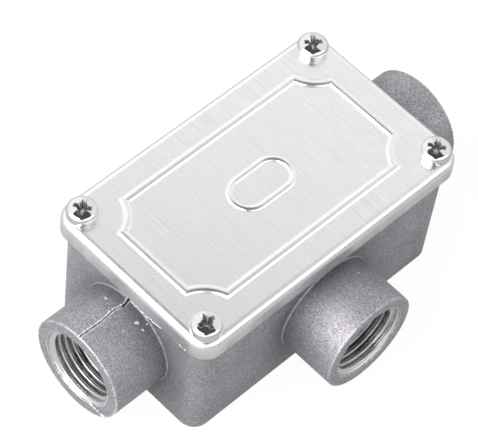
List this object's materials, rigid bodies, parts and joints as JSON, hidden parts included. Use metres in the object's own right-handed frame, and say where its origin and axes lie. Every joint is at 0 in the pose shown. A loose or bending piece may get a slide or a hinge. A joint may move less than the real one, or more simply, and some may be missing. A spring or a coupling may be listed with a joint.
{
  "type": "conduit body",
  "caption": "Cast aluminium tee conduit box with female pipe-thread hubs and a pressed sheet cover with a notched bead frame, held by cross-recess screws.",
  "frame": {"origin": "centre of the flat base, on its back face", "axes": "+X along the run, from one end hub to the other; -Y out of the side hub; +Z out of the box through the cover"},
  "size_m": [0.118, 0.0675, 0.0435],
  "materials": {
    "cast_aluminium": "matte as-cast, fine sparkling grain",
    "sheet_aluminium": "satin, finely brushed",
    "gasket_rubber": "matte",
    "bright_plating": "bright plated steel",
    "earth_brass": "turned brass",
    "zinc_plating": "zinc plated"
  },
  "bodies": {
    "box": {"body_casting": "cast_aluminium"},
    "lid": {"cover": "sheet_aluminium", "cover_gasket": "gasket_rubber"},
    "left_rear_screw": {"cover_screw_left_rear": "bright_plating"},
    "left_front_screw": {"cover_screw_left_front": "bright_plating"},
    "right_front_screw": {"cover_screw_right_front": "bright_plating"},
    "right_rear_screw": {"cover_screw_right_rear": "bright_plating"},
    "earth_terminal": {"earth_screw": "earth_brass", "earth_clamp": "zinc_plating"}
  },
  "joints": [
    {"name": "cover_lift", "type": "slide", "parent": "box", "child": "lid", "axis": [0, 0, 1], "range_m": [0, 0.04]},
    {"name": "left_rear_back_out", "type": "slide", "parent": "lid", "child": "left_rear_screw", "axis": [0, 0, 1], "range_m": [0, 0.014]},
    {"name": "left_front_back_out", "type": "slide", "parent": "lid", "child": "left_front_screw", "axis": [0, 0, 1], "range_m": [0, 0.014]},
    {"name": "right_front_back_out", "type": "slide", "parent": "lid", "child": "right_front_screw", "axis": [0, 0, 1], "range_m": [0, 0.014]},
    {"name": "right_rear_back_out", "type": "slide", "parent": "lid", "child": "right_rear_screw", "axis": [0, 0, 1], "range_m": [0, 0.014]},
    {"name": "earth_loosen", "type": "slide", "parent": "box", "child": "earth_terminal", "axis": [0, 0, 1], "range_m": [0, 0.004]}
  ]
}
